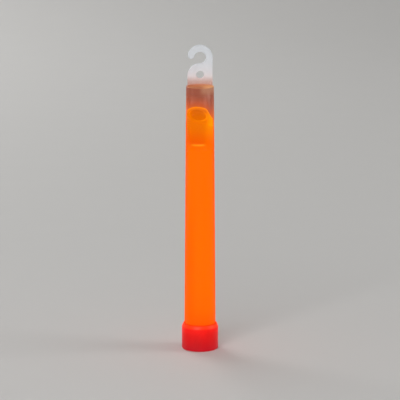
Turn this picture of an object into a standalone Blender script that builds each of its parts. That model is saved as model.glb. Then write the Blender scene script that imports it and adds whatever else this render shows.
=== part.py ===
"""A chemical light stick of the 6 inch class, snapped and glowing.

A milky tube is closed at its top end, where a flat hook tab with a lanyard hole is moulded on, and sealed
by a red cap with a plug at its bottom end. Inside are the dye solution and a thin glass ampoule of
activator solution, which has broken in two places: shards lie between its lower and middle lengths, and its
domed top has come off with air inside and floats at the free surface. The free surface is tilted, as in a
stick that leans.

Metres, +Z up. The origin is the centre of the cap's underside, +Z runs up the tube to the hook, and the flat
hook tab lies in the XZ plane with its mouth towards -X.
"""

import math

import bmesh
import bpy

MM = 0.001

# Driving dimensions
OVERALL_LENGTH = 152.0 * MM
FACE_HEIGHT = 131.8 * MM  # height of the tube's closed end face
TUBE_RADIUS_AT_CAP = 7.7 * MM
TUBE_RADIUS_AT_FACE = 6.8 * MM
TUBE_WALL = 1.0 * MM
END_WALL = 2.2 * MM
CAP_RADIUS = 9.0 * MM
CAP_HEIGHT = 12.8 * MM
TAB_WIDTH = 12.2 * MM
TAB_THICKNESS = 2.0 * MM
HOOK_EYE_RADIUS = 2.9 * MM
LANYARD_HOLE_RADIUS = 1.95 * MM
LANYARD_HOLE_HEIGHT = 137.5 * MM
AMPOULE_RADIUS = 4.0 * MM
AMPOULE_WALL = 0.45 * MM
AMPOULE_TOP = 119.0 * MM
AMPOULE_OFFSET = -0.8 * MM  # the loose ampoule lies nearer the hook's mouth side
DYE_LEVEL = 117.2 * MM  # height of the free surface on the tube's axis
DYE_TILT = (-0.345, 0.45)  # rise of the free surface along X and along Y
GAP = 0.3 * MM  # clearance between pieces that touch

# Details of the mouldings
CAP_FLOOR = 2.0 * MM
CAP_EDGE = 0.6 * MM
CAP_SHOULDER = 1.5 * MM
CAP_RECESS_RADIUS = 5.5 * MM
CAP_RECESS_DEPTH = 0.5 * MM
LIP_WIDTH = 0.2 * MM
PLUG_CHAMFER = 0.6 * MM
PLUG_DROP = 0.8 * MM  # how far the plug's top lies below the cap's lip
TUBE_TOP_EDGE = 0.6 * MM
BORE_END_RADIUS = 0.8 * MM
TAB_EDGE = 0.3 * MM
TAB_FOOT_FILLET = 0.5 * MM
TAB_FOOT_DEPTH = 1.0 * MM
HOOK_TIP_ANGLE = math.radians(166.0)

# The broken ampoule
DOME_HEIGHT = 3.0 * MM
LOWER_BREAK = 58.0 * MM  # height of the lower length's broken rim
MIDDLE_BREAK = 72.0 * MM  # height of the middle length's broken bottom rim
TOP_BREAK = 102.4 * MM  # height of the clean break under the domed top
SHARD_ANGLES = (5, 62, 121, 176, 241, 300)  # where the cracks between the shards run, in degrees
SHARD_SLANTS = (10, -8, 12, -10, 7, -11)  # how far each crack leans from bottom to top, in degrees
SHARD_STEPS = 6

# Worked out from the above
PLUG_TOP = CAP_HEIGHT - PLUG_DROP
TUBE_BOTTOM = CAP_FLOOR + GAP
BORE_TOP = FACE_HEIGHT - END_WALL
TAB_HALF = TAB_WIDTH / 2
HOOK_HEIGHT = OVERALL_LENGTH - TAB_HALF
AMPOULE_BOTTOM = PLUG_TOP + GAP
ACTIVATOR_TOP = TOP_BREAK - GAP

# Mesh fineness
BODY_SEGMENTS = 48
GLASS_SEGMENTS = 36
ARC_STEP = math.radians(10)
SHARP_ANGLE = math.radians(35)
MERGE_DISTANCE = 0.000001


def clear_scene():
    for obj in list(bpy.data.objects):
        bpy.data.objects.remove(obj, do_unlink=True)


def tube_radius(height):
    """Outer radius of the tapered tube at a height."""
    share = (height - CAP_HEIGHT) / (FACE_HEIGHT - CAP_HEIGHT)
    return TUBE_RADIUS_AT_CAP + share * (TUBE_RADIUS_AT_FACE - TUBE_RADIUS_AT_CAP)


def bore_radius(height):
    return tube_radius(height) - TUBE_WALL


def arc(centre, radius, start, end, height=None):
    """Points along an arc, both ends included; an ellipse's arc if its height differs from its radius."""
    steps = max(2, math.ceil(abs(end - start) / ARC_STEP))
    angles = [start + (end - start) * i / steps for i in range(steps + 1)]
    rise = radius if height is None else height
    return [(centre[0] + radius * math.cos(a), centre[1] + rise * math.sin(a)) for a in angles]


def principled(name, colour, roughness, alpha=1.0, glow=0.0):
    """A plain material; glow is the strength of the light it gives off in its own colour."""
    material = bpy.data.materials.new(name)
    material.use_nodes = True
    shader = material.node_tree.nodes["Principled BSDF"]
    shader.inputs["Base Color"].default_value = (*colour, 1.0)
    shader.inputs["Roughness"].default_value = roughness
    shader.inputs["Metallic"].default_value = 0.0
    shader.inputs["Alpha"].default_value = alpha
    shader.inputs["Emission Color"].default_value = (*colour, 1.0)
    shader.inputs["Emission Strength"].default_value = glow
    return material


def milky_polyolefin():
    return principled("milky_polyolefin", (0.80, 0.70, 0.64), 0.35, alpha=0.45)


def red_polyolefin():
    return principled("red_polyolefin", (0.75, 0.03, 0.03), 0.35)


def glowing_dye():
    return principled("glowing_dye", (1.0, 0.16, 0.005), 0.2, alpha=0.9, glow=1.0)


def glowing_activator():
    return principled("glowing_activator", (1.0, 0.14, 0.004), 0.2, glow=1.0)


def clear_glass():
    return principled("clear_glass", (0.95, 0.97, 0.96), 0.03, alpha=0.3)


def add_object(name, bm, material, parent=None):
    """Wraps a bmesh built in world coordinates as a smooth-shaded object, with its origin at its parent's."""
    bmesh.ops.recalc_face_normals(bm, faces=bm.faces)
    origin = parent.matrix_world.translation.copy() if parent else None
    if origin:
        bmesh.ops.translate(bm, verts=bm.verts, vec=-origin)
    mesh = bpy.data.meshes.new(name)
    bm.to_mesh(mesh)
    bm.free()
    mesh.shade_smooth()
    mesh.set_sharp_from_angle(angle=SHARP_ANGLE)
    if material:
        mesh.materials.append(material)
    obj = bpy.data.objects.new(name, mesh)
    bpy.context.scene.collection.objects.link(obj)
    obj.parent = parent
    return obj


def add_carrier(name, location, parent=None):
    """An empty on a joint's axis, which carries the pieces that move together."""
    empty = bpy.data.objects.new(name, None)
    bpy.context.scene.collection.objects.link(empty)
    empty.parent = parent
    empty.location = location
    bpy.context.view_layer.update()
    return empty


def turned(profile, segments, axis_x=0.0):
    """A solid spun from (radius, height) points: a ring, or a full solid if both ends lie on the axis."""
    bm = bmesh.new()
    verts = [bm.verts.new((radius, 0.0, height)) for radius, height in profile]
    edges = [bm.edges.new(pair) for pair in zip(verts, verts[1:])]
    if profile[0][0] > 0:
        edges.append(bm.edges.new((verts[-1], verts[0])))
    bmesh.ops.spin(
        bm, geom=verts + edges, cent=(0, 0, 0), axis=(0, 0, 1), angle=math.tau, steps=segments, use_merge=True
    )
    bmesh.ops.remove_doubles(bm, verts=bm.verts, dist=MERGE_DISTANCE)
    bmesh.ops.translate(bm, verts=bm.verts, vec=(axis_x, 0, 0))
    return bm


def as_helper(obj):
    """Marks an object as a form for a Boolean, which is not a piece itself."""
    obj.hide_render = True
    obj.display_type = "WIRE"
    return obj


def add_boolean(obj, form, operation):
    modifier = obj.modifiers.new(operation.lower(), "BOOLEAN")
    modifier.operation = operation
    modifier.solver = "EXACT"
    modifier.object = form


def tab_outline():
    """The hook tab's outline in the XZ plane, from its right foot round the hook to its left foot."""
    foot_corner = TAB_HALF + TAB_FOOT_FILLET
    fillet_height = FACE_HEIGHT + TAB_FOOT_FILLET
    foot_height = FACE_HEIGHT - TAB_FOOT_DEPTH
    hook = (0.0, HOOK_HEIGHT)
    band = TAB_HALF - HOOK_EYE_RADIUS
    tip_reach = HOOK_EYE_RADIUS + band / 2
    tip = (tip_reach * math.cos(HOOK_TIP_ANGLE), HOOK_HEIGHT + tip_reach * math.sin(HOOK_TIP_ANGLE))
    lobe = (0.0, HOOK_HEIGHT - HOOK_EYE_RADIUS - TAB_HALF)
    quarter, half = math.pi / 2, math.pi
    points = [(foot_corner, foot_height)]
    points += arc((foot_corner, fillet_height), TAB_FOOT_FILLET, -quarter, -half)
    points += arc(hook, TAB_HALF, 0.0, quarter)
    points += arc(hook, TAB_HALF, quarter, HOOK_TIP_ANGLE)[1:]
    points += arc(tip, band / 2, HOOK_TIP_ANGLE, HOOK_TIP_ANGLE + half)[1:-1]
    points += arc(hook, HOOK_EYE_RADIUS, HOOK_TIP_ANGLE, -quarter)
    points += arc(lobe, TAB_HALF, quarter, half)[1:]
    points += arc((-foot_corner, fillet_height), TAB_FOOT_FILLET, 0.0, -quarter)
    points.append((-foot_corner, foot_height))
    return points


def closed_loop(bm, points):
    verts = [bm.verts.new((x, -TAB_THICKNESS / 2, z)) for x, z in points]
    return [bm.edges.new(pair) for pair in zip(verts, verts[1:] + verts[:1])]


def make_tab_form():
    """The hook tab as a plate with a lanyard hole and softened edges."""
    bm = bmesh.new()
    edges = closed_loop(bm, tab_outline())
    edges += closed_loop(bm, arc((0.0, LANYARD_HOLE_HEIGHT), LANYARD_HOLE_RADIUS, 0.0, math.tau)[:-1])
    bmesh.ops.triangle_fill(bm, use_beauty=True, edges=edges)
    extruded = bmesh.ops.extrude_face_region(bm, geom=bm.faces)
    moved = [item for item in extruded["geom"] if isinstance(item, bmesh.types.BMVert)]
    bmesh.ops.translate(bm, verts=moved, vec=(0, TAB_THICKNESS, 0))
    form = as_helper(add_object("tab_form", bm, None))
    bevel = form.modifiers.new("soft_edges", "BEVEL")
    bevel.width = TAB_EDGE
    bevel.segments = 2
    bevel.limit_method = "ANGLE"
    bevel.angle_limit = math.radians(60)
    return form


def make_tube_body():
    """The tapered tube, closed at the top and open at the bottom, in one with its hook tab."""
    bore_end = BORE_TOP - BORE_END_RADIUS
    corner = tube_radius(FACE_HEIGHT) - TUBE_TOP_EDGE
    profile = [(0.0, BORE_TOP)]
    profile += arc((bore_radius(bore_end) - BORE_END_RADIUS, bore_end), BORE_END_RADIUS, math.pi / 2, 0.0)
    profile.append((bore_radius(TUBE_BOTTOM), TUBE_BOTTOM))
    profile.append((tube_radius(TUBE_BOTTOM), TUBE_BOTTOM))
    profile += arc((corner, FACE_HEIGHT - TUBE_TOP_EDGE), TUBE_TOP_EDGE, 0.0, math.pi / 2)
    profile.append((0.0, FACE_HEIGHT))
    tube = add_object("tube_body", turned(profile, BODY_SEGMENTS), milky_polyolefin())
    add_boolean(tube, make_tab_form(), "UNION")


def make_end_cap():
    """The red cap: a skirt over the tube's outside with a bevelled shoulder, and a plug in its bore."""
    skirt_bore = tube_radius(TUBE_BOTTOM) + GAP
    plug_radius = bore_radius(PLUG_TOP) - GAP
    profile = [(0.0, CAP_RECESS_DEPTH), (CAP_RECESS_RADIUS, CAP_RECESS_DEPTH)]
    profile.append((CAP_RECESS_RADIUS + CAP_RECESS_DEPTH, 0.0))
    profile += arc((CAP_RADIUS - CAP_EDGE, CAP_EDGE), CAP_EDGE, -math.pi / 2, 0.0)
    profile.append((CAP_RADIUS, CAP_HEIGHT - CAP_SHOULDER))
    profile.append((skirt_bore + LIP_WIDTH, CAP_HEIGHT))
    profile.append((skirt_bore, CAP_HEIGHT))
    profile.append((skirt_bore, CAP_FLOOR))
    profile.append((plug_radius, CAP_FLOOR))
    profile.append((plug_radius, PLUG_TOP - PLUG_CHAMFER))
    profile.append((plug_radius - PLUG_CHAMFER, PLUG_TOP))
    profile.append((0.0, PLUG_TOP))
    add_object("end_cap", turned(profile, BODY_SEGMENTS), red_polyolefin())


def make_dye_solution():
    """The liquid round the ampoule: a tapered column with a sloped top and a straight bore."""
    bottom = AMPOULE_BOTTOM
    column = turned(
        [
            (0.0, bottom),
            (bore_radius(bottom) - GAP, bottom),
            (bore_radius(DYE_LEVEL) - GAP, DYE_LEVEL),
            (0.0, DYE_LEVEL),
        ],
        BODY_SEGMENTS,
    )
    for vert in column.verts:
        if vert.co.z > DYE_LEVEL - GAP:
            vert.co.z += DYE_TILT[0] * vert.co.x + DYE_TILT[1] * vert.co.y
    dye = add_object("dye_solution", column, glowing_dye())
    radius = AMPOULE_RADIUS + GAP
    bore = turned(
        [(0.0, 0.0), (radius, 0.0), (radius, OVERALL_LENGTH), (0.0, OVERALL_LENGTH)],
        GLASS_SEGMENTS,
        AMPOULE_OFFSET,
    )
    add_boolean(dye, as_helper(add_object("ampoule_bore", bore, None)), "DIFFERENCE")


def lower_crack(angle):
    """Height of the lower length's broken rim round the ampoule."""
    return LOWER_BREAK + (1.6 * math.sin(2 * angle + 0.4) + 0.9 * math.sin(5 * angle + 1.0)) * MM


def middle_crack(angle):
    """Height of the middle length's broken bottom rim round the ampoule."""
    return MIDDLE_BREAK + (1.8 * math.sin(2 * angle + 2.1) + 0.9 * math.sin(5 * angle + 3.0)) * MM


def top_crack(angle):
    """Height of the cleaner break under the domed top."""
    return TOP_BREAK + (0.15 * math.sin(2 * angle) + 0.1 * math.sin(3 * angle + 1.0)) * MM


def dome_crack(angle):
    """Height of the domed top's rim, just clear of the length it broke from."""
    return top_crack(angle) + GAP


def break_rim(bm, rim, crack):
    """Moves the ring of points at a rim's height to where its crack runs."""
    for vert in bm.verts:
        if abs(vert.co.z - rim) < MERGE_DISTANCE:
            vert.co.z = crack(math.atan2(vert.co.y, vert.co.x))


def ampoule_end(closed_end, rim, crack):
    """One end of the ampoule: a thin cup with a domed end, broken off along the crack."""
    up = 1 if closed_end > rim else -1
    spring_line = closed_end - up * DOME_HEIGHT
    inner_radius = AMPOULE_RADIUS - AMPOULE_WALL
    quarter = up * math.pi / 2
    profile = arc((0.0, spring_line), AMPOULE_RADIUS, quarter, 0.0, DOME_HEIGHT)
    profile += [(AMPOULE_RADIUS, rim), (inner_radius, rim)]
    profile += arc((0.0, spring_line), inner_radius, 0.0, quarter, DOME_HEIGHT - AMPOULE_WALL)
    bm = turned(snapped_to_axis(profile), GLASS_SEGMENTS)
    break_rim(bm, rim, crack)
    bmesh.ops.translate(bm, verts=bm.verts, vec=(AMPOULE_OFFSET, 0, 0))
    return bm


def ampoule_length():
    """The open middle length of the ampoule, broken at both ends."""
    inner_radius = AMPOULE_RADIUS - AMPOULE_WALL
    outer = [(AMPOULE_RADIUS, TOP_BREAK), (AMPOULE_RADIUS, MIDDLE_BREAK)]
    inner = [(inner_radius, MIDDLE_BREAK), (inner_radius, TOP_BREAK)]
    bm = turned(outer + inner, GLASS_SEGMENTS)
    break_rim(bm, MIDDLE_BREAK, middle_crack)
    break_rim(bm, TOP_BREAK, top_crack)
    bmesh.ops.translate(bm, verts=bm.verts, vec=(AMPOULE_OFFSET, 0, 0))
    return bm


def snapped_to_axis(profile):
    """The same profile with its first and last points exactly on the axis."""
    return [(0.0, profile[0][1])] + profile[1:-1] + [(0.0, profile[-1][1])]


def make_activator_solution(carrier):
    """The liquid inside the ampoule, domed at the bottom and level at the top."""
    radius = AMPOULE_RADIUS - AMPOULE_WALL - GAP
    height = DOME_HEIGHT - AMPOULE_WALL - GAP
    profile = arc((0.0, AMPOULE_BOTTOM + DOME_HEIGHT), radius, -math.pi / 2, 0.0, height)
    profile += [(radius, ACTIVATOR_TOP), (0.0, ACTIVATOR_TOP)]
    bm = turned(snapped_to_axis(profile), GLASS_SEGMENTS, AMPOULE_OFFSET)
    add_object("activator_solution", bm, glowing_activator(), carrier)


def shard_edge(index, top):
    """Angle of the crack before a shard, at the shards' bottom or top."""
    turn, place = divmod(index, len(SHARD_ANGLES))
    lean = SHARD_SLANTS[place] if top else -SHARD_SLANTS[place]
    return math.radians(SHARD_ANGLES[place] + 360 * turn + lean)


def make_shard(index, material, carrier):
    """One curved piece of the shattered ring, free of its neighbours and of the lengths above and below."""
    crack_share = GAP / AMPOULE_RADIUS
    bm = bmesh.new()
    rows = []
    for step in range(SHARD_STEPS + 1):
        row = []
        for top in (False, True):
            start = shard_edge(index, top) + crack_share
            end = shard_edge(index + 1, top) - crack_share
            angle = start + (end - start) * step / SHARD_STEPS
            height = middle_crack(angle) - GAP if top else lower_crack(angle) + GAP
            radii = (AMPOULE_RADIUS, AMPOULE_RADIUS - AMPOULE_WALL)
            for radius in radii if top else reversed(radii):
                across = AMPOULE_OFFSET + radius * math.cos(angle)
                row.append(bm.verts.new((across, radius * math.sin(angle), height)))
        rows.append(row)
    for row, following in zip(rows, rows[1:]):
        for corner in range(4):
            after = (corner + 1) % 4
            bm.faces.new((row[corner], row[after], following[after], following[corner]))
    bm.faces.new(rows[0])
    bm.faces.new(rows[-1])
    add_object(f"ampoule_shard_{index + 1}", bm, material, carrier)


def make_ampoule():
    """The broken ampoule on its carriers: each length slides on the one below, and the lowest in the tube."""
    glass = clear_glass()
    lower = add_carrier("lower_carrier", (AMPOULE_OFFSET, 0.0, AMPOULE_BOTTOM))
    middle = add_carrier("middle_carrier", (0.0, 0.0, MIDDLE_BREAK - AMPOULE_BOTTOM), lower)
    upper = add_carrier("upper_carrier", (0.0, 0.0, TOP_BREAK - MIDDLE_BREAK), middle)
    add_object("ampoule_lower", ampoule_end(AMPOULE_BOTTOM, LOWER_BREAK, lower_crack), glass, lower)
    add_object("ampoule_middle", ampoule_length(), glass, middle)
    add_object("ampoule_upper", ampoule_end(AMPOULE_TOP, TOP_BREAK + GAP, dome_crack), glass, upper)
    for index in range(len(SHARD_ANGLES)):
        make_shard(index, glass, lower)
    make_activator_solution(lower)


clear_scene()
make_tube_body()
make_end_cap()
make_dye_solution()
make_ampoule()
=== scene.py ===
"""Looks of a chemical light stick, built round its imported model.

Metres, +Z up, the origin at the centre of the cap's underside, the flat hook tab in the XZ plane.
"""

import math

import bmesh
import bpy
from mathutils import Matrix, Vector


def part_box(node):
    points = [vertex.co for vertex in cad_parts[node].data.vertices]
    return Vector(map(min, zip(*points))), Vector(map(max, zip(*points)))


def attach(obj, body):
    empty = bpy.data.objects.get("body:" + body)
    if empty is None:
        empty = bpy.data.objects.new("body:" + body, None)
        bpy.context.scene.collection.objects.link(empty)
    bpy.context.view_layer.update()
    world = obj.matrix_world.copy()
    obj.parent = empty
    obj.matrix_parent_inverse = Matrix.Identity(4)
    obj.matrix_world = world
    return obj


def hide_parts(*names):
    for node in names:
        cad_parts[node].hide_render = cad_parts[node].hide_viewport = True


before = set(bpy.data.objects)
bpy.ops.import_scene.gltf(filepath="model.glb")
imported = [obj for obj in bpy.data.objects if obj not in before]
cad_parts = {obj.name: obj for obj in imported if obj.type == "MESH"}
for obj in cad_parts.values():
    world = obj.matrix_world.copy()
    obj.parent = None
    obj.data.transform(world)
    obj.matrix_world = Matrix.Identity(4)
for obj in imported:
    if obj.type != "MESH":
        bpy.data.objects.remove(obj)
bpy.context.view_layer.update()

MM = 0.001

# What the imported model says
TUBE_LOW, TUBE_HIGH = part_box("tube_body")
CAP_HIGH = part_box("end_cap")[1]
DYE_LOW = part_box("dye_solution")[0]
DOME_LOW, DOME_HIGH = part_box("ampoule_upper")
OVERALL_LENGTH = TUBE_HIGH.z
TUBE_BOTTOM = TUBE_LOW.z
CAP_RADIUS = CAP_HIGH.x
CAP_HEIGHT = CAP_HIGH.z
DYE_BOTTOM = DYE_LOW.z
GLASS_TOP = DOME_HIGH.z
GLASS_RIM = DOME_LOW.z
GLASS_RADIUS = (DOME_HIGH.x - DOME_LOW.x) / 2
GLASS_X = (DOME_HIGH.x + DOME_LOW.x) / 2

# Sizes of the mouldings
FACE_HEIGHT = 131.8 * MM
TUBE_RADIUS_AT_CAP = 7.7 * MM
TUBE_RADIUS_AT_FACE = 6.8 * MM
TUBE_WALL = 1.0 * MM
DRAWN_WALL = 0.25 * MM  # the plastic bends light, so that the liquid seems to fill the tube to its edge
END_WALL = 2.2 * MM
TUBE_TOP_EDGE = 0.6 * MM
BORE_END_RADIUS = 0.8 * MM
TAB_HALF = 6.1 * MM
TAB_THICKNESS = 2.0 * MM
TAB_EDGE = 0.35 * MM
TAB_FOOT_FILLET = 0.5 * MM
TAB_FOOT_DEPTH = 1.0 * MM
HOOK_EYE_RADIUS = 2.9 * MM
HOOK_TIP_ANGLE = math.radians(166.0)
LANYARD_HOLE_RADIUS = 1.95 * MM
LANYARD_HOLE_HEIGHT = 137.5 * MM
CAP_FLOOR = 2.0 * MM
CAP_EDGE = 0.6 * MM
CAP_SHOULDER = 1.5 * MM
CAP_RECESS_RADIUS = 5.5 * MM
CAP_RECESS_DEPTH = 0.5 * MM
CAP_CLEARANCE = 0.3 * MM
CAP_SOFTENING = 0.35 * MM
LIP_ROUNDING = 0.1 * MM
PLUG_DROP = 0.8 * MM  # how far the plug's top lies below the cap's lip
PLUG_CHAMFER = 0.6 * MM
LIP_WIDTH = 0.2 * MM
GATE_RADIUS = 0.9 * MM
GATE_HEIGHT = 0.25 * MM
GATE_SLOPE = 0.2 * MM
GLASS_WALL = 0.45 * MM
GLASS_DOME = 3.0 * MM
LIT_EDGE = 1.5 * MM  # how far the light that the glass guides shows above its clean broken rim

# The liquid: its free surface is tilted, held up where its layer is thin and lower where it is thick
DYE_LEVEL = 116.6 * MM
DYE_TILT = (-0.15, 0.44)
THICK_FROM, THICK_TO = 2.8 * MM, 5.6 * MM
THICK_DROP = 2.2 * MM
MENISCUS_RISE = 0.7 * MM
MENISCUS_WIDTH = 0.5 * MM
FILM = 0.02 * MM  # how near the liquid comes to the tube's bore
GLASS_FILM = 0.08 * MM  # how near it comes to the glass

# Mesh fineness
ROUND_STEPS = 128
ARC_STEP = math.radians(4)
FILLET_ROWS = 6
MERGE_DISTANCE = 0.000001


# ---------------------------------------------------------------- meshes


def tube_radius(height):
    share = (height - CAP_HEIGHT) / (FACE_HEIGHT - CAP_HEIGHT)
    return TUBE_RADIUS_AT_CAP + share * (TUBE_RADIUS_AT_FACE - TUBE_RADIUS_AT_CAP)


def bore_radius(height):
    return tube_radius(height) - DRAWN_WALL


def arc(centre, radius, start, end, height=None):
    """Points along an arc, both ends included; an ellipse's arc if its height differs from its radius."""
    steps = max(4, math.ceil(abs(end - start) / ARC_STEP))
    angles = [start + (end - start) * i / steps for i in range(steps + 1)]
    rise = radius if height is None else height
    return [(centre[0] + radius * math.cos(a), centre[1] + rise * math.sin(a)) for a in angles]


def turned(profile):
    """A shape spun from (radius, height) points: a ring, or a full solid if both ends lie on the axis."""
    bm = bmesh.new()
    verts = [bm.verts.new((radius, 0.0, height)) for radius, height in profile]
    edges = [bm.edges.new(pair) for pair in zip(verts, verts[1:])]
    if profile[0][0] > 0:
        edges.append(bm.edges.new((verts[-1], verts[0])))
    bmesh.ops.spin(
        bm,
        geom=verts + edges,
        cent=(0, 0, 0),
        axis=(0, 0, 1),
        angle=math.tau,
        steps=ROUND_STEPS,
        use_merge=True,
    )
    bmesh.ops.remove_doubles(bm, verts=bm.verts, dist=MERGE_DISTANCE)
    return bm


def make_object(name, bm, materials=(), sharp_angle=35):
    bmesh.ops.recalc_face_normals(bm, faces=bm.faces)
    mesh = bpy.data.meshes.new(name)
    bm.to_mesh(mesh)
    bm.free()
    mesh.shade_smooth()
    mesh.set_sharp_from_angle(angle=math.radians(sharp_angle))
    for material in materials:
        mesh.materials.append(material)
    obj = bpy.data.objects.new(name, mesh)
    bpy.context.scene.collection.objects.link(obj)
    return obj


def tab_outline():
    """The hook tab's outline in the XZ plane, from its right foot round the hook to its left foot."""
    foot_corner = TAB_HALF + TAB_FOOT_FILLET
    fillet_height = FACE_HEIGHT + TAB_FOOT_FILLET
    foot_height = FACE_HEIGHT - TAB_FOOT_DEPTH
    hook = (0.0, OVERALL_LENGTH - TAB_HALF)
    band = TAB_HALF - HOOK_EYE_RADIUS
    tip_reach = HOOK_EYE_RADIUS + band / 2
    tip = (tip_reach * math.cos(HOOK_TIP_ANGLE), hook[1] + tip_reach * math.sin(HOOK_TIP_ANGLE))
    lobe = (0.0, hook[1] - HOOK_EYE_RADIUS - TAB_HALF)
    quarter, half = math.pi / 2, math.pi
    points = [(foot_corner, foot_height)]
    points += arc((foot_corner, fillet_height), TAB_FOOT_FILLET, -quarter, -half)
    points += arc(hook, TAB_HALF, 0.0, quarter)
    points += arc(hook, TAB_HALF, quarter, HOOK_TIP_ANGLE)[1:]
    points += arc(tip, band / 2, HOOK_TIP_ANGLE, HOOK_TIP_ANGLE + half)[1:-1]
    points += arc(hook, HOOK_EYE_RADIUS, HOOK_TIP_ANGLE, -quarter)
    points += arc(lobe, TAB_HALF, quarter, half)[1:]
    points += arc((-foot_corner, fillet_height), TAB_FOOT_FILLET, 0.0, -quarter)
    points.append((-foot_corner, foot_height))
    return points


def closed_loop(bm, points):
    verts = [bm.verts.new((x, -TAB_THICKNESS / 2, z)) for x, z in points]
    return [bm.edges.new(pair) for pair in zip(verts, verts[1:] + verts[:1])]


def flare_foot(bm):
    """Thickens the tab towards the tube's face along a small fillet."""
    for row in range(FILLET_ROWS + 1):
        height = FACE_HEIGHT + TAB_FOOT_FILLET * row / FILLET_ROWS
        bmesh.ops.bisect_plane(
            bm,
            geom=bm.verts[:] + bm.edges[:] + bm.faces[:],
            plane_co=(0, 0, height),
            plane_no=(0, 0, 1),
            dist=MERGE_DISTANCE,
        )
    for vert in bm.verts:
        rise = max(vert.co.z - FACE_HEIGHT, 0.0)
        if rise < TAB_FOOT_FILLET:
            run = TAB_FOOT_FILLET - rise
            extra = TAB_FOOT_FILLET - math.sqrt(max(TAB_FOOT_FILLET**2 - run**2, 0.0))
            vert.co.y += math.copysign(extra, vert.co.y)


def make_tab():
    """The hook tab as a mesh: a plate with a lanyard hole, softened edges and a flared foot."""
    bm = bmesh.new()
    edges = closed_loop(bm, tab_outline())
    edges += closed_loop(bm, arc((0.0, LANYARD_HOLE_HEIGHT), LANYARD_HOLE_RADIUS, 0.0, math.tau)[:-1])
    bmesh.ops.triangle_fill(bm, use_beauty=True, edges=edges)
    extruded = bmesh.ops.extrude_face_region(bm, geom=bm.faces)
    moved = [item for item in extruded["geom"] if isinstance(item, bmesh.types.BMVert)]
    bmesh.ops.translate(bm, verts=moved, vec=(0, TAB_THICKNESS, 0))
    plate = make_object("tab", bm)
    bevel = plate.modifiers.new("soft_edges", "BEVEL")
    bevel.width = TAB_EDGE
    bevel.segments = 4
    bevel.limit_method = "ANGLE"
    bevel.angle_limit = math.radians(60)
    softened = plate.evaluated_get(bpy.context.evaluated_depsgraph_get())
    tab = bpy.data.meshes.new_from_object(softened)
    bpy.data.objects.remove(plate)
    bm = bmesh.new()
    bm.from_mesh(tab)
    flare_foot(bm)
    bm.to_mesh(tab)
    bm.free()
    return tab


def in_bore(point):
    """Whether a point of the tube lies on its bore rather than on its outside."""
    wall_middle = tube_radius(point.z) - DRAWN_WALL / 2
    return point.z < FACE_HEIGHT - END_WALL / 2 and math.hypot(point.x, point.y) < wall_middle


def make_tube(outside, bore):
    """The milky tube with its hook tab, whose foot is sunk in the end wall so that the face runs on."""
    bore_end = FACE_HEIGHT - END_WALL - BORE_END_RADIUS
    corner = tube_radius(FACE_HEIGHT) - TUBE_TOP_EDGE
    profile = [(0.0, bore_end + BORE_END_RADIUS)]
    profile += arc((bore_radius(bore_end) - BORE_END_RADIUS, bore_end), BORE_END_RADIUS, math.pi / 2, 0.0)
    profile.append((bore_radius(TUBE_BOTTOM), TUBE_BOTTOM))
    profile.append((tube_radius(TUBE_BOTTOM), TUBE_BOTTOM))
    profile += arc((corner, FACE_HEIGHT - TUBE_TOP_EDGE), TUBE_TOP_EDGE, 0.0, math.pi / 2)
    profile.append((0.0, FACE_HEIGHT))
    bm = turned(profile)
    bm.from_mesh(make_tab())
    for face in bm.faces:
        face.material_index = int(in_bore(face.calc_center_median()))
    tube = make_object("tube_moulding", bm, [outside, bore], sharp_angle=30)
    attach(tube, "stick")
    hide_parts("tube_body")


def make_cap(material):
    """The red cap: skirt, bevelled shoulder with softened edges, plug and a gate mark in its recess."""
    plug_top = CAP_HEIGHT - PLUG_DROP
    plug_radius = tube_radius(plug_top) - TUBE_WALL - CAP_CLEARANCE
    skirt_bore = tube_radius(TUBE_BOTTOM) + CAP_CLEARANCE
    lip = skirt_bore + LIP_WIDTH
    lip_base = CAP_HEIGHT - LIP_ROUNDING
    slope = math.atan2(CAP_SHOULDER, CAP_RADIUS - lip)
    shoulder = CAP_HEIGHT - CAP_SHOULDER - CAP_SOFTENING * math.tan(slope / 2)
    quarter = math.pi / 2
    gate_end = CAP_RECESS_DEPTH - GATE_HEIGHT
    profile = [(0.0, gate_end), (GATE_RADIUS - GATE_SLOPE, gate_end), (GATE_RADIUS, CAP_RECESS_DEPTH)]
    profile += [(CAP_RECESS_RADIUS, CAP_RECESS_DEPTH), (CAP_RECESS_RADIUS + CAP_RECESS_DEPTH, 0.0)]
    profile += arc((CAP_RADIUS - CAP_EDGE, CAP_EDGE), CAP_EDGE, -quarter, 0.0)
    profile += arc((CAP_RADIUS - CAP_SOFTENING, shoulder), CAP_SOFTENING, 0.0, quarter - slope)
    profile += arc((lip - LIP_ROUNDING / 2, lip_base), LIP_ROUNDING, quarter - slope, quarter)
    profile += [(skirt_bore, lip_base), (skirt_bore, CAP_FLOOR), (plug_radius, CAP_FLOOR)]
    profile += [(plug_radius, plug_top - PLUG_CHAMFER), (plug_radius - PLUG_CHAMFER, plug_top)]
    profile.append((0.0, plug_top))
    cap = make_object("cap_moulding", turned(profile), [material])
    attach(cap, "stick")
    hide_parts("end_cap")


def surface_height(x, y):
    """Height of the free surface, apart from its climb at the walls."""
    share = min(max((x - THICK_FROM) / (THICK_TO - THICK_FROM), 0.0), 1.0)
    smooth = share * share * (3 - 2 * share)
    return DYE_LEVEL + DYE_TILT[0] * x + DYE_TILT[1] * y - THICK_DROP * smooth


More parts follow.
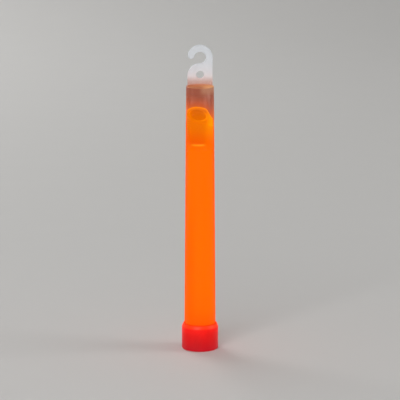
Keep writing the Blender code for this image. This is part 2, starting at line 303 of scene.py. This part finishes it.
def make_dye(side, surface, bore):
    """The liquid: a tapered column that wets the bore, with a tilted top that climbs at its walls."""
    hole = GLASS_RADIUS + GLASS_FILM
    brim = bore_radius(DYE_LEVEL) - FILM
    steps = [0.0, 0.04, 0.1, 0.2, 0.35, 0.5, 0.65, 0.8, 0.9, 0.96, 1.0]
    heights = [DYE_BOTTOM, 40 * MM, 70 * MM, 95 * MM, 105 * MM, 110 * MM]
    angles = [math.tau * i / ROUND_STEPS for i in range(ROUND_STEPS)]
    around = [Vector((math.cos(angle), math.sin(angle))) for angle in angles]
    axis = Vector((GLASS_X, 0.0))
    columns = []
    for direction in around:
        inner, outer = axis + hole * direction, brim * direction
        column = [(inner.x, inner.y, height) for height in heights]
        for share in steps:
            point = inner.lerp(outer, share)
            from_wall = min((point - inner).length, (outer - point).length)
            level = surface_height(point.x, point.y) + MENISCUS_RISE * math.exp(-from_wall / MENISCUS_WIDTH)
            if share == 1.0:
                point = (bore_radius(level) - FILM) * direction
            column.append((point.x, point.y, level))
        for height in reversed(heights):
            reach = (bore_radius(height) - FILM) * direction
            column.append((reach.x, reach.y, height))
        columns.append(column)
    bm = bmesh.new()
    rows = [[bm.verts.new(point) for point in column] for column in columns]
    for left, right in zip(rows, rows[1:] + rows[:1]):
        for i in range(len(left)):
            j = (i + 1) % len(left)
            face = bm.faces.new((left[i], left[j], right[j], right[i]))
            if i < len(heights):
                face.material_index = 2
            elif i < len(heights) + len(steps) - 1:
                face.material_index = 1
    dye = make_object("dye_liquid", bm, [side, surface, bore], sharp_angle=50)
    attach(dye, "stick")
    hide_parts("dye_solution")


def make_glass_top(glass, lit_edge):
    """The ampoule's domed top, with a rounded broken rim that shines outwards."""
    spring_line = GLASS_TOP - GLASS_DOME
    middle = GLASS_RADIUS - GLASS_WALL / 2
    inner_radius = GLASS_RADIUS - GLASS_WALL
    profile = arc((0.0, spring_line), GLASS_RADIUS, math.pi / 2, 0.0, GLASS_DOME)
    profile.append((GLASS_RADIUS, GLASS_RIM + LIT_EDGE))
    profile += arc((middle, GLASS_RIM + GLASS_WALL / 2), GLASS_WALL / 2, 0.0, -math.pi)
    profile += arc((0.0, spring_line), inner_radius, 0.0, math.pi / 2, GLASS_DOME - GLASS_WALL)
    profile[0] = (0.0, profile[0][1])
    profile[-1] = (0.0, profile[-1][1])
    bm = turned(profile)
    for face in bm.faces:
        centre = face.calc_center_median()
        outside = centre.xy.length > middle
        face.material_index = int(outside and centre.z < GLASS_RIM + LIT_EDGE)
    bmesh.ops.translate(bm, verts=bm.verts, vec=(GLASS_X, 0, 0))
    dome = make_object("ampoule_dome", bm, [glass, lit_edge])
    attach(dome, "ampoule_upper_part")
    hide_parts("ampoule_upper")


# ---------------------------------------------------------------- materials


def srgb(red, green, blue):
    """A colour given as 0 to 255, as linear light."""

    def linear(value):
        share = value / 255
        return share / 12.92 if share <= 0.04045 else ((share + 0.055) / 1.055) ** 2.4

    return (linear(red), linear(green), linear(blue), 1.0)


def new_material(name):
    material = bpy.data.materials.new(name)
    material.use_nodes = True
    material.node_tree.nodes.clear()
    return material, material.node_tree


def add_node(tree, kind, inputs=None, **settings):
    """Adds a node; inputs maps a socket's name or number to a value or to another node's output."""
    made = tree.nodes.new("ShaderNode" + kind)
    for name, value in settings.items():
        setattr(made, name, value)
    for key, value in (inputs or {}).items():
        if isinstance(value, bpy.types.NodeSocket):
            tree.links.new(value, made.inputs[key])
        else:
            made.inputs[key].default_value = value
    return made


def object_place(tree):
    """The point on the piece, in metres, which stays with the piece when it moves."""
    return add_node(tree, "TexCoord").outputs["Object"]


def axis_value(tree, place, axis):
    return add_node(tree, "SeparateXYZ", {0: place}).outputs[axis]


def math_node(tree, operation, first, second):
    return add_node(tree, "Math", {0: first, 1: second}, operation=operation).outputs[0]


def ramp(tree, value, stops):
    """A colour that changes along value; stops are (value, colour) in rising order."""
    low, high = stops[0][0], stops[-1][0]
    share = add_node(tree, "MapRange", {"Value": value, "From Min": low, "From Max": high}).outputs[0]
    made = add_node(tree, "ValToRGB", {0: share})
    elements = made.color_ramp.elements
    while len(elements) > 1:
        elements.remove(elements[-1])
    elements[0].position = 0.0
    elements[0].color = stops[0][1]
    for place, colour in stops[1:]:
        elements.new((place - low) / (high - low)).color = colour
    return made.outputs["Color"]


def level_ramp(tree, value, stops):
    """A number that changes along value, clamped at both ends."""
    grey = [(place, (level, level, level, 1.0)) for place, level in stops]
    return add_node(tree, "RGBToBW", {0: ramp(tree, value, grey)}).outputs[0]


def noise(tree, place, scale, detail=2.0, stretch=(1.0, 1.0, 1.0), centre=0.5, spread=0.1):
    """Cloudy variation round centre, by plus or minus spread."""
    scaled = add_node(tree, "Mapping", {"Vector": place, "Scale": stretch}).outputs[0]
    cloud = add_node(tree, "TexNoise", {"Vector": scaled, "Scale": scale, "Detail": detail}).outputs[0]
    limits = {"From Min": 0.25, "From Max": 0.75, "To Min": centre - spread, "To Max": centre + spread}
    return add_node(tree, "MapRange", {"Value": cloud, **limits}).outputs[0]


def times(tree, colour, number):
    """A colour, brightened or dimmed by a number."""
    if not isinstance(colour, bpy.types.NodeSocket):
        colour = colour[:3]
    return add_node(tree, "VectorMath", {0: colour, "Scale": number}, operation="SCALE").outputs[0]


def bumped(tree, height, distance):
    return add_node(tree, "Bump", {"Height": height, "Distance": distance}).outputs[0]


def see_through(tree, cover, solid):
    """A surface that hides what lies behind it by the share cover."""
    clear = add_node(tree, "BsdfTransparent").outputs[0]
    return add_node(tree, "MixShader", {0: cover, 1: clear, 2: solid}).outputs[0]


def seen_from_behind(tree):
    """1 where a surface is seen from its back, otherwise 0."""
    return add_node(tree, "NewGeometry").outputs["Backfacing"]


def seen_from_front(tree):
    return math_node(tree, "SUBTRACT", 1.0, seen_from_behind(tree))


def finish_material(tree, shader):
    add_node(tree, "OutputMaterial", {"Surface": shader})


def mix_colour(tree, share, first, second):
    return add_node(tree, "Mix", {"Factor": share, 6: first, 7: second}, data_type="RGBA").outputs[2]


def step(tree, value, low, high):
    """A smooth change from 0 at low to 1 at high, steady beyond them; low may be the greater one."""
    limits = {"From Min": low, "From Max": high}
    return add_node(
        tree, "MapRange", {"Value": value, **limits}, interpolation_type="SMOOTHSTEP"
    ).outputs[0]


def grazing(tree, low, high):
    """A smooth change from 0 at low to 1 at high, as a surface turns from square on (0) to edge on (1)."""
    return step(tree, add_node(tree, "LayerWeight", {"Blend": 0.5}).outputs["Facing"], low, high)


def above_liquid(tree, place):
    """How far a point lies above the liquid's free surface."""
    slope = (-DYE_TILT[0], -DYE_TILT[1], 1.0)
    above_plane = add_node(tree, "VectorMath", {0: place, 1: slope}, operation="DOT_PRODUCT").outputs["Value"]
    thick_side = step(tree, axis_value(tree, place, "X"), THICK_FROM, THICK_TO)
    drop = math_node(tree, "MULTIPLY", thick_side, THICK_DROP)
    return math_node(tree, "SUBTRACT", math_node(tree, "ADD", above_plane, drop), DYE_LEVEL)


def film_and_highlight_streaks(tree, place):
    """Soft upright streaks, up to 1: partly a film dried on the plastic, partly a painted highlight,
    strongest on the right side.
    """
    cloud = noise(tree, place, 360.0, detail=2.0, stretch=(1.0, 1.0, 0.05), centre=0.5, spread=0.5)
    # painted highlight: the streaks grow stronger towards +X, where a light's reflection falls
    amount = level_ramp(tree, axis_value(tree, place, "X"), [(-1 * MM, 0.3), (3 * MM, 1.0)])
    return math_node(tree, "MULTIPLY", step(tree, cloud, 0.4, 1.0), amount)


def wet_glow(tree, height):
    """The liquid's light through the wall that it wets, least of it inside the cap's lip."""
    return ramp(
        tree,
        height,
        [
            (12.8 * MM, srgb(205, 44, 0)),
            (13.3 * MM, srgb(244, 78, 2)),
            (16 * MM, srgb(250, 90, 1)),
            (20 * MM, srgb(253, 100, 0)),
            (32 * MM, srgb(254, 107, 0)),
            (100 * MM, srgb(254, 107, 0)),
            (104 * MM, srgb(230, 92, 0)),
            (111 * MM, srgb(226, 112, 0)),
            (117 * MM, srgb(230, 116, 0)),
        ],
    )


def dry_glow(tree, above):
    """The light that reaches the dry wall, less of it further above the liquid."""
    return ramp(
        tree,
        above,
        [
            (0.7 * MM, srgb(226, 100, 4)),
            (3 * MM, srgb(222, 95, 6)),
            (5 * MM, srgb(204, 90, 26)),
            (7 * MM, srgb(184, 86, 42)),
            (9.5 * MM, srgb(154, 74, 46)),
            (14 * MM, srgb(128, 70, 52)),
        ],
    )


def face_glow(tree, place):
    """The end face's light: paler on the right, dimmer at the front on the left."""
    across = axis_value(tree, place, "X")
    glow = ramp(
        tree,
        across,
        [
            (-5 * MM, srgb(116, 58, 18)),
            (0.5 * MM, srgb(138, 84, 44)),
            (4 * MM, srgb(158, 116, 72)),
        ],
    )
    front_half = step(tree, axis_value(tree, place, "Y"), 2 * MM, -5 * MM)
    dim_part = math_node(tree, "MULTIPLY", front_half, step(tree, across, 3 * MM, 0.0))
    return mix_colour(tree, dim_part, glow, srgb(104, 50, 14))


def tab_glow(tree, height):
    """The light that climbs into the tab."""
    return ramp(
        tree,
        height,
        [
            (FACE_HEIGHT, srgb(146, 80, 58)),
            (FACE_HEIGHT + 3 * MM, srgb(116, 72, 60)),
            (FACE_HEIGHT + 7 * MM, srgb(76, 52, 48)),
            (FACE_HEIGHT + 12 * MM, srgb(30, 28, 30)),
        ],
    )


def tube_glow(tree, place, height, above, dry, face, red_edge):
    """The light that the whole moulding passes on, with pale streaks that are partly dried film and partly a
    painted highlight, and a painted highlight on the right side by the face.
    """
    film_and_painted_light = math_node(tree, "MULTIPLY", film_and_highlight_streaks(tree, place), step(tree, above, 5 * MM, 9 * MM))
    right = step(tree, axis_value(tree, place, "X"), -1 * MM, 2 * MM)
    near_face = step(tree, height, FACE_HEIGHT - 5 * MM, FACE_HEIGHT - 0.6 * MM)
    tab = step(tree, height, FACE_HEIGHT + 0.1 * MM, FACE_HEIGHT + 0.7 * MM)
    glow = mix_colour(tree, dry, wet_glow(tree, height), dry_glow(tree, above))
    glow = mix_colour(tree, red_edge, glow, srgb(250, 92, 0))
    # painted highlight, partly dried film: pale streaks mixed into the glow
    glow = mix_colour(tree, film_and_painted_light, glow, srgb(168, 116, 100))
    # painted highlight: the right side just below the face is paler
    glow = mix_colour(tree, math_node(tree, "MULTIPLY", near_face, right), glow, srgb(154, 113, 88))
    glow = mix_colour(tree, face, glow, face_glow(tree, place))
    return mix_colour(tree, tab, glow, tab_glow(tree, height))


def tube_body(tree, height, above, dry, face):
    """The plastic's base colour, with painted glow from within: deep orange where the liquid wets it, browner
    above, warm on the end face; milky white in the tab.
    """
    # painted glow: these orange and brown base colours stand in for the light from the liquid
    dry_body = ramp(tree, above, [(4 * MM, srgb(120, 36, 2)), (8 * MM, srgb(102, 50, 38))])
    body = mix_colour(tree, dry, srgb(120, 28, 0), dry_body)
    body = mix_colour(tree, face, body, srgb(170, 112, 84))
    tab = step(tree, height, FACE_HEIGHT, FACE_HEIGHT + 6 * MM)
    return mix_colour(tree, tab, body, srgb(232, 236, 241))


def tube_cover(tree, height, above, face, edge, clouds):
    """How much the moulding hides: most at its edges, its end wall and the cap, least near the liquid."""
    tab_cover = level_ramp(
        tree,
        height,
        [
            (FACE_HEIGHT, 1.0),
            (FACE_HEIGHT + 0.15 * MM, 0.42),
            (FACE_HEIGHT + 1.5 * MM, 0.42),
            (FACE_HEIGHT + 5 * MM, 0.6),
        ],
    )
    wall_cover = level_ramp(
        tree, above, [(0.4 * MM, 0.35), (1.2 * MM, 0.12), (8 * MM, 0.14), (13 * MM, 0.35)]
    )
    end_wall = step(tree, height, 122 * MM, 130 * MM)
    by_cap = step(tree, height, 14 * MM, 13.2 * MM)
    wall_cover = math_node(tree, "MAXIMUM", end_wall, wall_cover)
    wall_cover = math_node(tree, "MAXIMUM", wall_cover, by_cap)
    cover = add_node(tree, "Mix", {"Factor": face, "A": wall_cover, "B": tab_cover}).outputs[0]
    return math_node(tree, "MAXIMUM", math_node(tree, "MULTIPLY", cover, clouds), edge)


def tube_outside_material():
    """Milky polyolefin from outside: lit through by the liquid behind it, paler towards the tab."""
    material, tree = new_material("milky_tube")
    place = object_place(tree)
    height = axis_value(tree, place, "Z")
    above = above_liquid(tree, place)
    dry = step(tree, above, 0.4 * MM, 0.9 * MM)
    face = step(tree, height, FACE_HEIGHT - 0.45 * MM, FACE_HEIGHT - 0.1 * MM)
    edge = grazing(tree, 0.45, 0.75)
    wet_edge = math_node(tree, "MULTIPLY", edge, step(tree, above, 3 * MM, -3 * MM))
    red_edge = math_node(tree, "MULTIPLY", wet_edge, step(tree, height, 22 * MM, 30 * MM))
    gloss = level_ramp(tree, wet_edge, [(0.0, 0.25), (1.0, 0.0)])  # reflections would pale the lit edges
    clouds = noise(tree, place, 140.0, detail=3.0, centre=1.0, spread=0.05)
    peel = noise(tree, place, 900.0, detail=2.0, centre=0.5, spread=0.5)
    plastic = add_node(
        tree,
        "BsdfPrincipled",
        {
            "Base Color": times(tree, tube_body(tree, height, above, dry, face), clouds),
            "Roughness": noise(tree, place, 400.0, centre=0.36, spread=0.05),
            "IOR": 1.3,
            "Specular IOR Level": gloss,
            "Emission Color": tube_glow(tree, place, height, above, dry, face, red_edge),
            "Emission Strength": 1.0,
            "Normal": bumped(tree, peel, 0.01 * MM),
        },
    ).outputs[0]
    cover = tube_cover(tree, height, above, face, edge, clouds)
    finish_material(tree, see_through(tree, cover, plastic))
    return material


def tube_bore_material():
    """The bore's wall: clear where the liquid wets it, milky above, with pale streaks that are partly dried
    film and partly a painted highlight.
    """
    material, tree = new_material("milky_bore")
    place = object_place(tree)
    above = above_liquid(tree, place)
    glow = ramp(
        tree,
        above,
        [
            (0.7 * MM, srgb(204, 92, 14)),
            (2 * MM, srgb(188, 80, 26)),
            (4 * MM, srgb(164, 72, 36)),
            (8 * MM, srgb(130, 66, 46)),
            (15 * MM, srgb(126, 68, 50)),
        ],
    )
    # painted highlight, partly dried film: pale streaks in both the base colour and the glow
    film_and_painted_light = math_node(tree, "MULTIPLY", film_and_highlight_streaks(tree, place), step(tree, above, 1 * MM, 4 * MM))
    plastic = add_node(
        tree,
        "BsdfPrincipled",
        {
            "Base Color": mix_colour(tree, film_and_painted_light, srgb(96, 46, 32), srgb(190, 160, 150)),
            "Roughness": 0.3,
            "Emission Color": mix_colour(tree, film_and_painted_light, glow, srgb(176, 118, 98)),
            "Emission Strength": 1.0,
        },
    ).outputs[0]
    dry = step(tree, above, 0.5 * MM, 0.8 * MM)
    cover = math_node(tree, "MULTIPLY", math_node(tree, "MULTIPLY", dry, seen_from_front(tree)), 0.94)
    finish_material(tree, see_through(tree, cover, plastic))
    return material


def red_cap_material():
    """Translucent red polyolefin, lit from the tube end and darkening towards its base."""
    material, tree = new_material("red_cap")
    place = object_place(tree)
    height = axis_value(tree, place, "Z")
    glow = ramp(
        tree,
        height,
        [
            (0.0 * MM, srgb(146, 8, 24)),
            (4.0 * MM, srgb(166, 8, 12)),
            (8.0 * MM, srgb(195, 12, 3)),
            (11.0 * MM, srgb(222, 22, 2)),
            (11.6 * MM, srgb(248, 54, 4)),
            (12.8 * MM, srgb(250, 60, 6)),
        ],
    )
    clouds = noise(tree, place, 180.0, detail=3.0, centre=1.0, spread=0.07)
    peel = noise(tree, place, 700.0, detail=2.0, centre=0.5, spread=0.5)
    plastic = add_node(
        tree,
        "BsdfPrincipled",
        {
            "Base Color": times(tree, srgb(150, 10, 16), clouds),
            "Roughness": noise(tree, place, 500.0, centre=0.4, spread=0.06),
            "Specular IOR Level": 0.2,
            "Emission Color": times(tree, glow, clouds),
            "Emission Strength": 1.0,
            "Normal": bumped(tree, peel, 0.01 * MM),
        },
    ).outputs[0]
    finish_material(tree, plastic)
    return material


def liquid_shader(tree, colour, cover, gloss=0.1):
    """A glowing liquid's surface, partly see-through, and dull where plastic or glass lies against it."""
    wet = add_node(
        tree,
        "BsdfPrincipled",
        {
            "Base Color": (0.1, 0.01, 0.0, 1.0),
            "Roughness": 0.08,
            "IOR": 1.33,
            "Specular IOR Level": gloss,
            "Emission Color": colour,
            "Emission Strength": 1.0,
        },
    ).outputs[0]
    return see_through(tree, cover, wet)


def dye_side_material():
    """The liquid against the tube: yellower where its layer is thickest, redder at its edges and low down."""
    material, tree = new_material("glowing_dye")
    place = object_place(tree)
    height = axis_value(tree, place, "Z")
    side = axis_value(tree, place, "X")
    thin = ramp(
        tree,
        height,
        [
            (12 * MM, srgb(252, 88, 0)),
            (22 * MM, srgb(254, 104, 0)),
            (50 * MM, srgb(255, 109, 0)),
            (102.6 * MM, srgb(255, 109, 0)),
            (104.9 * MM, srgb(236, 84, 0)),
            (108 * MM, srgb(230, 94, 0)),
            (112 * MM, srgb(224, 110, 0)),
            (116 * MM, srgb(224, 110, 0)),
            (120 * MM, srgb(236, 122, 2)),
        ],
    )
    thick = ramp(
        tree,
        height,
        [
            (12 * MM, srgb(252, 88, 0)),
            (22 * MM, srgb(254, 104, 0)),
            (100 * MM, srgb(255, 109, 0)),
            (105 * MM, srgb(252, 110, 0)),
            (110 * MM, srgb(252, 138, 0)),
            (113 * MM, srgb(254, 152, 0)),
            (117 * MM, srgb(255, 158, 2)),
        ],
    )
    colour = mix_colour(tree, step(tree, side, 0.5 * MM, 5.5 * MM), thin, thick)
    far_side = step(tree, side, -1 * MM, -6 * MM)
    low_down = step(tree, height, 90 * MM, 45 * MM)
    below_dome = step(tree, height, 106 * MM, 100 * MM)
    edge = math_node(tree, "MULTIPLY", grazing(tree, 0.35, 0.7), below_dome)
    red_part = math_node(tree, "MAXIMUM", math_node(tree, "MULTIPLY", far_side, low_down), edge)
    colour = mix_colour(tree, red_part, colour, srgb(254, 92, 0))
    swirl = noise(tree, place, 90.0, detail=2.0, stretch=(1.0, 1.0, 0.4), centre=1.0, spread=0.03)
    cover = level_ramp(tree, height, [(99 * MM, 1.0), (104 * MM, 0.75), (122 * MM, 0.6)])
    cover = math_node(tree, "MAXIMUM", cover, seen_from_behind(tree))
    finish_material(tree, liquid_shader(tree, times(tree, colour, swirl), cover))
    return material


def dye_surface_material():
    """The free surface, brightest at the back and on the thick side, where it climbs the wall."""
    material, tree = new_material("glowing_dye_surface")
    place = object_place(tree)
    above = above_liquid(tree, place)
    side = axis_value(tree, place, "X")
    colour = ramp(
        tree,
        above,
        [
            (0.1 * MM, srgb(208, 102, 0)),
            (0.35 * MM, srgb(226, 116, 0)),
            (0.65 * MM, srgb(255, 140, 12)),
        ],
    )
    behind = step(tree, axis_value(tree, place, "Y"), -1 * MM, 4 * MM)
    colour = mix_colour(tree, behind, srgb(210, 107, 0), colour)
    lip = step(tree, above, 0.3 * MM, 0.6 * MM)
    lit_lip = math_node(tree, "MULTIPLY", lip, step(tree, side, 0.0, 2 * MM))
    colour = mix_colour(tree, lit_lip, colour, srgb(255, 138, 8))
    colour = mix_colour(tree, step(tree, side, 2.5 * MM, 5.5 * MM), colour, srgb(250, 140, 0))
    swirl = noise(tree, place, 300.0, centre=1.25, spread=0.06)
    finish_material(tree, liquid_shader(tree, times(tree, colour, swirl), 0.95, gloss=0.5))
    return material


def dye_bore_material():
    """The liquid seen from inside, against the glass."""
    material, tree = new_material("glowing_dye_bore")
    place = object_place(tree)
    height = axis_value(tree, place, "Z")
    colour = ramp(
        tree,
        height,
        [
            (12 * MM, srgb(250, 104, 0)),
            (101 * MM, srgb(244, 100, 0)),
            (104 * MM, srgb(222, 90, 0)),
            (109 * MM, srgb(226, 114, 0)),
            (115 * MM, srgb(222, 114, 0)),
            (119 * MM, srgb(206, 98, 0)),
        ],
    )
    thick_side = step(tree, axis_value(tree, place, "X"), 1 * MM, 3 * MM)
    colour = mix_colour(tree, thick_side, colour, srgb(236, 126, 0))
    swirl = noise(tree, place, 120.0, centre=1.0, spread=0.05)
    cover = level_ramp(tree, seen_from_behind(tree), [(0.0, 0.95), (1.0, 0.1)])
    finish_material(tree, liquid_shader(tree, times(tree, colour, swirl), cover))
    return material


def activator_material():
    """The liquid inside the glass, which glows as brightly as the rest."""
    material, tree = new_material("glowing_activator")
    place = object_place(tree)
    height = axis_value(tree, place, "Z")
    colour = ramp(
        tree,
        height,
        [
            (12 * MM, srgb(253, 98, 2)),
            (98 * MM, srgb(255, 110, 0)),
            (101.3 * MM, srgb(255, 118, 4)),
        ],
    )
    swirl = noise(tree, place, 90.0, centre=1.0, spread=0.03)
    finish_material(tree, liquid_shader(tree, times(tree, colour, swirl), 1.0))
    return material


def glass_material():
    """Thin clear ampoule glass, wet with dye, given painted glow for the light of the liquid round it."""
    material, tree = new_material("ampoule_glass")
    place = object_place(tree)
    facing = add_node(tree, "LayerWeight", {"Blend": 0.35}).outputs["Facing"]
    rim = math_node(tree, "POWER", facing, 2.0)
    film_and_painted_light = noise(tree, place, 200.0, centre=0.16, spread=0.06)
    cover = math_node(tree, "ADD", film_and_painted_light, math_node(tree, "MULTIPLY", rim, 0.45))
    glass = add_node(
        tree,
        "BsdfPrincipled",
        {
            "Base Color": srgb(150, 80, 10),
            "Roughness": noise(tree, place, 300.0, centre=0.06, spread=0.02),
            "Specular IOR Level": 0.3,
            # painted glow: the glass gives out the orange of the liquid round it
            "Emission Color": srgb(196, 96, 0),
            "Emission Strength": 1.0,
        },
    ).outputs[0]
    finish_material(tree, see_through(tree, cover, glass))
    return material


def lit_edge_material():
    """The glass by its clean broken rim, which sends out the light that the glass guides."""
    material, tree = new_material("lit_glass_edge")
    height = axis_value(tree, object_place(tree), "Z")
    fade = step(tree, height, GLASS_RIM + LIT_EDGE, GLASS_RIM + LIT_EDGE / 2)
    glass = add_node(
        tree,
        "BsdfPrincipled",
        {
            "Base Color": srgb(190, 120, 40),
            "Roughness": 0.1,
            "Emission Color": mix_colour(tree, fade, srgb(192, 88, 0), srgb(240, 255, 60)),
            "Emission Strength": 1.3,
        },
    ).outputs[0]
    square_on = math_node(tree, "MULTIPLY", seen_from_front(tree), grazing(tree, 0.75, 0.0))
    cover = math_node(tree, "MULTIPLY", level_ramp(tree, fade, [(0.0, 0.15), (1.0, 0.95)]), square_on)
    finish_material(tree, see_through(tree, cover, glass))
    return material


def floor_material():
    """Pale paper, with painted light that grows a little where it rises behind the piece."""
    material, tree = new_material("pale_floor")
    place = object_place(tree)
    paper = add_node(
        tree,
        "BsdfPrincipled",
        {
            "Base Color": srgb(210, 209, 207),
            "Roughness": noise(tree, place, 30.0, centre=0.75, spread=0.05),
            # painted light: the paper glows a little, more the higher it rises
            "Emission Color": srgb(210, 209, 207),
            "Emission Strength": level_ramp(tree, axis_value(tree, place, "Z"), [(0.0, 0.0), (1.2, 0.22)]),
        },
    ).outputs[0]
    finish_material(tree, paper)
    return material


def dress_nodes(material, names):
    """Gives CAD nodes whose shape is right a better material."""
    for name in names:
        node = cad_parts[name]
        for slot in node.material_slots:
            slot.material = material


# ---------------------------------------------------------------- stage, light and camera

FLOOR_RADIUS = 1.0
SWEEP_RADIUS = 1.6
BACKDROP_HEIGHT = 3.2
FLOOR_DROP = 0.05 * MM


def make_stage():
    """A pale round floor that sweeps up into a backdrop on every side."""
    profile = [(0.0, -FLOOR_DROP), (0.3, -FLOOR_DROP)]
    profile += arc((FLOOR_RADIUS, SWEEP_RADIUS - FLOOR_DROP), SWEEP_RADIUS, -math.pi / 2, 0.0)
    profile.append((FLOOR_RADIUS + SWEEP_RADIUS, BACKDROP_HEIGHT))
    bm = turned(profile)
    bmesh.ops.reverse_faces(bm, faces=bm.faces)
    stage = make_object("backdrop", bm, [floor_material()])


def aim(obj, target):
    obj.rotation_mode = "QUATERNION"
    obj.rotation_quaternion = (Vector(target) - obj.location).to_track_quat("-Z", "Y")


def add_area_light(name, place, size, power):
    data = bpy.data.lights.new(name, "AREA")
    data.shape = "RECTANGLE"
    data.size, data.size_y = size
    data.energy = power
    light = bpy.data.objects.new(name, data)
    bpy.context.scene.collection.objects.link(light)
    light.location = place
    aim(light, (0.0, 0.0, OVERALL_LENGTH / 2))
    light.visible_camera = False


def make_light():
    world = bpy.data.worlds.new("soft_room")
    world.use_nodes = True
    background = world.node_tree.nodes["Background"]
    background.inputs["Color"].default_value = (0.95, 0.97, 1.0, 1.0)
    background.inputs["Strength"].default_value = 0.14
    bpy.context.scene.world = world
    add_area_light("front", (-0.45, -1.3, 0.8), (0.9, 0.9), 12.0)
    add_area_light("right", (1.2, -0.1, 0.7), (0.6, 0.9), 4.5)
    add_area_light("back", (-0.75, 1.1, 0.75), (0.9, 0.7), 7.5)


CAMERA_DISTANCE = 1.24
CAMERA_HEIGHT = 0.339
AIM_HEIGHT = 0.0750
LENS = 232.0


def make_camera():
    data = bpy.data.cameras.new("camera")
    data.lens = LENS
    data.clip_start = 0.01
    data.clip_end = 20.0
    camera = bpy.data.objects.new("camera", data)
    bpy.context.scene.collection.objects.link(camera)
    camera.location = (0.0, -CAMERA_DISTANCE, CAMERA_HEIGHT)
    aim(camera, (0.0, 0.0, AIM_HEIGHT))
    bpy.context.scene.camera = camera
    bpy.context.scene.view_settings.view_transform = "Standard"


GLASS = glass_material()
make_tube(tube_outside_material(), tube_bore_material())
make_cap(red_cap_material())
make_dye(dye_side_material(), dye_surface_material(), dye_bore_material())
make_glass_top(GLASS, lit_edge_material())
dress_nodes(GLASS, ["ampoule_middle", "ampoule_lower"] + [f"ampoule_shard_{n}" for n in range(1, 7)])
dress_nodes(activator_material(), ["activator_solution"])
make_stage()
make_light()
make_camera()
